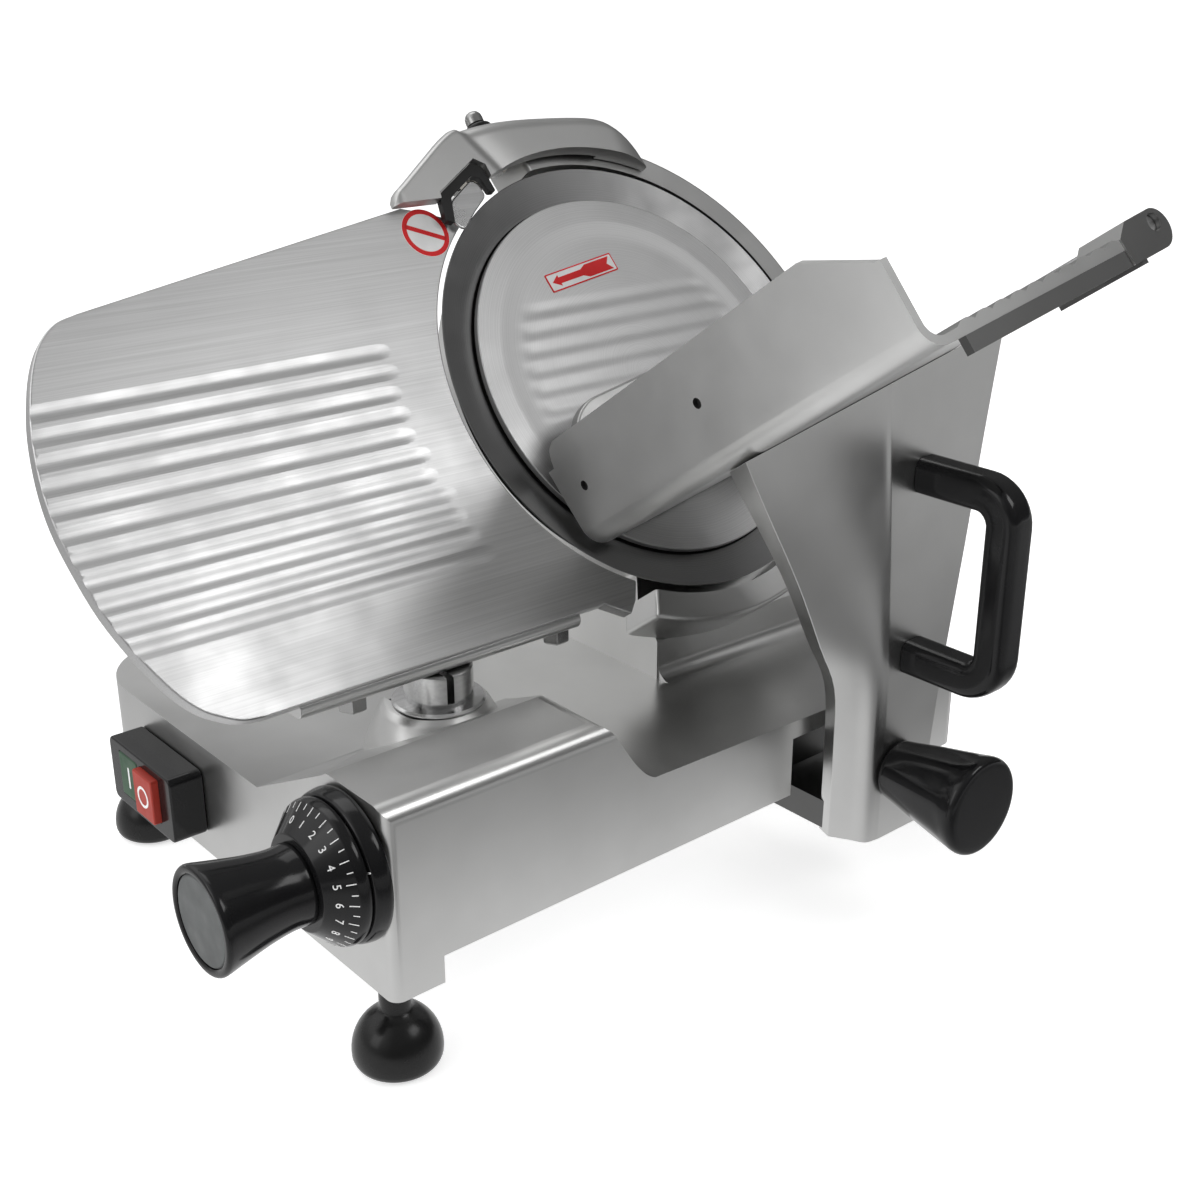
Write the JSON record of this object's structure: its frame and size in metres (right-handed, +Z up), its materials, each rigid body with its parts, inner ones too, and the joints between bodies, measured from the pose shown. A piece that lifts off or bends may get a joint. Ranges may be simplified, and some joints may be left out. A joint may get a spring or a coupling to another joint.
{
  "type": "deli meat slicer",
  "caption": "Gravity-feed slicer with a leaning round blade, sliding food tray with pusher, thickness plate set by a numbered dial, push-button switch and sharpener",
  "frame": {"origin": "on the supporting surface, under the middle of the bounding box", "axes": "+X along the carriage travel away from the dial end, -Y toward the food carriage side, +Z up"},
  "size_m": [0.4882, 0.4524, 0.3863],
  "materials": {
    "cast_aluminium": "satin brushed and cast",
    "steel": "machined",
    "chrome": "polished",
    "blade_steel": "dark hollow-ground",
    "black_plastic": "glossy black",
    "rubber": "satin black",
    "grey_plastic": "matt dark grey",
    "green_plastic": "dark green",
    "red_plastic": "red",
    "stone": "abrasive grit",
    "motor_paint": "painted"
  },
  "bodies": {
    "base": {"base_casting": "cast_aluminium", "bottom_plate": "steel", "foot_front_left": "rubber", "foot_front_right": "rubber", "foot_rear_left": "rubber", "foot_rear_right": "rubber", "blade_housing": "cast_aluminium", "bearing_front": "steel", "bearing_rear": "steel", "motor": "motor_paint", "motor_plate": "steel", "drive_belt": "rubber", "cover_tie_rod": "steel", "blade_cover": "cast_aluminium", "sharpener_cover": "cast_aluminium", "pin_collar": "rubber", "index_ring": "black_plastic", "switch_box": "black_plastic", "cord_gland": "black_plastic", "guide_rod": "steel", "slider_rod": "steel"},
    "blade": {"blade": "blade_steel", "blade_shaft": "steel", "blade_pulley": "cast_aluminium"},
    "motor_rotor": {"motor_shaft": "steel", "motor_pulley": "cast_aluminium"},
    "cover_knob": {"cover_knob": "black_plastic"},
    "gauge": {"gauge_plate": "cast_aluminium", "gauge_bar": "cast_aluminium", "gauge_bolt_left": "chrome", "gauge_bolt_right": "chrome", "gauge_column": "steel", "slider_block": "cast_aluminium", "follower_roller": "steel"},
    "dial": {"dial_skirt": "black_plastic", "dial_knob": "black_plastic", "dial_cap": "grey_plastic", "dial_shaft": "steel", "snail_cam": "steel"},
    "carriage": {"carriage_arm": "cast_aluminium", "slide_block": "cast_aluminium", "tray": "cast_aluminium", "pusher_rod": "steel", "carriage_handle": "black_plastic", "handle_spacer_top": "steel", "handle_spacer_low": "steel", "knob_stud": "steel"},
    "carriage_knob": {"carriage_knob": "black_plastic"},
    "guide_roller": {"guide_roller": "black_plastic"},
    "pusher_slider": {"pusher_sleeve": "steel"},
    "pusher": {"pusher_arm": "cast_aluminium", "pusher_plate": "cast_aluminium", "pusher_grip": "black_plastic"},
    "start_button": {"start_button": "green_plastic"},
    "stop_button": {"stop_button": "red_plastic"},
    "grind_pin": {"grind_pin": "chrome"},
    "grind_stone": {"grind_stone": "stone"},
    "hone_pin": {"hone_pin": "chrome"},
    "hone_stone": {"hone_stone": "stone"}
  },
  "joints": [
    {"name": "blade_spin", "type": "hinge", "parent": "base", "child": "blade", "pos_m": [0.10012, 0.04618, 0.2545], "axis": [0, -0.8013, 0.5983], "continuous": true},
    {"name": "motor_spin", "type": "hinge", "parent": "base", "child": "motor_rotor", "pos_m": [0.12612, 0.01028, 0.20642], "axis": [0, -0.8013, 0.5983], "continuous": true},
    {"name": "cover_knob_turn", "type": "hinge", "parent": "base", "child": "cover_knob", "pos_m": [0.10012, 0.19041, 0.1468], "axis": [0, -0.8013, 0.5983], "continuous": true},
    {"name": "gauge_slide", "type": "slide", "parent": "base", "child": "gauge", "axis": [0, 1, 0], "range_m": [0, 0.015]},
    {"name": "dial_turn", "type": "hinge", "parent": "base", "child": "dial", "pos_m": [-0.17188, -0.06482, 0.1025], "axis": [-1, 0, 0], "range_deg": [0, 300.5]},
    {"name": "carriage_slide", "type": "slide", "parent": "base", "child": "carriage", "axis": [1, 0, 0], "range_m": [-0.215, 0.015]},
    {"name": "carriage_knob_turn", "type": "hinge", "parent": "carriage", "child": "carriage_knob", "pos_m": [0.11712, -0.12982, 0.074], "axis": [0, 1, 0], "continuous": true},
    {"name": "guide_roller_spin", "type": "hinge", "parent": "carriage", "child": "guide_roller", "pos_m": [0.11312, 0.01018, 0.05], "axis": [0, 1, 0], "continuous": true},
    {"name": "pusher_slide", "type": "slide", "parent": "carriage", "child": "pusher_slider", "axis": [-0.063, -0.8306, 0.5532], "range_m": [0, 0.15]},
    {"name": "pusher_swing", "type": "hinge", "parent": "pusher_slider", "child": "pusher", "pos_m": [0.16754, -0.05068, 0.25075], "axis": [0.063, 0.8306, -0.5532], "range_deg": [0, 110]},
    {"name": "start_press", "type": "slide", "parent": "base", "child": "start_button", "axis": [1, 0, 0], "range_m": [0, 0.003], "stiffness_N_per_m": 300},
    {"name": "stop_press", "type": "slide", "parent": "base", "child": "stop_button", "axis": [1, 0, 0], "range_m": [0, 0.004], "stiffness_N_per_m": 300},
    {"name": "grind_press", "type": "slide", "parent": "base", "child": "grind_pin", "axis": [0, -0.5983, -0.8013], "range_m": [0, 0.005], "stiffness_N_per_m": 500, "springref_m": -0.001},
    {"name": "grind_stone_spin", "type": "hinge", "parent": "grind_pin", "child": "grind_stone", "pos_m": [0.06212, 0.13156, 0.35798], "axis": [0, 0.5983, 0.8013], "continuous": true},
    {"name": "hone_press", "type": "slide", "parent": "base", "child": "hone_pin", "axis": [0, -0.8013, 0.5983], "range_m": [0, 0.003], "stiffness_N_per_m": 500, "springref_m": -0.001},
    {"name": "hone_stone_spin", "type": "hinge", "parent": "hone_pin", "child": "hone_stone", "pos_m": [0.05512, 0.14078, 0.3511], "axis": [0, -0.8013, 0.5983], "continuous": true}
  ],
  "couplings": [
    {"joint": "motor_spin", "follows": "blade_spin", "ratio": 2},
    {"joint": "dial_turn", "follows": "gauge_slide", "rad_per_m": 349.07}
  ]
}
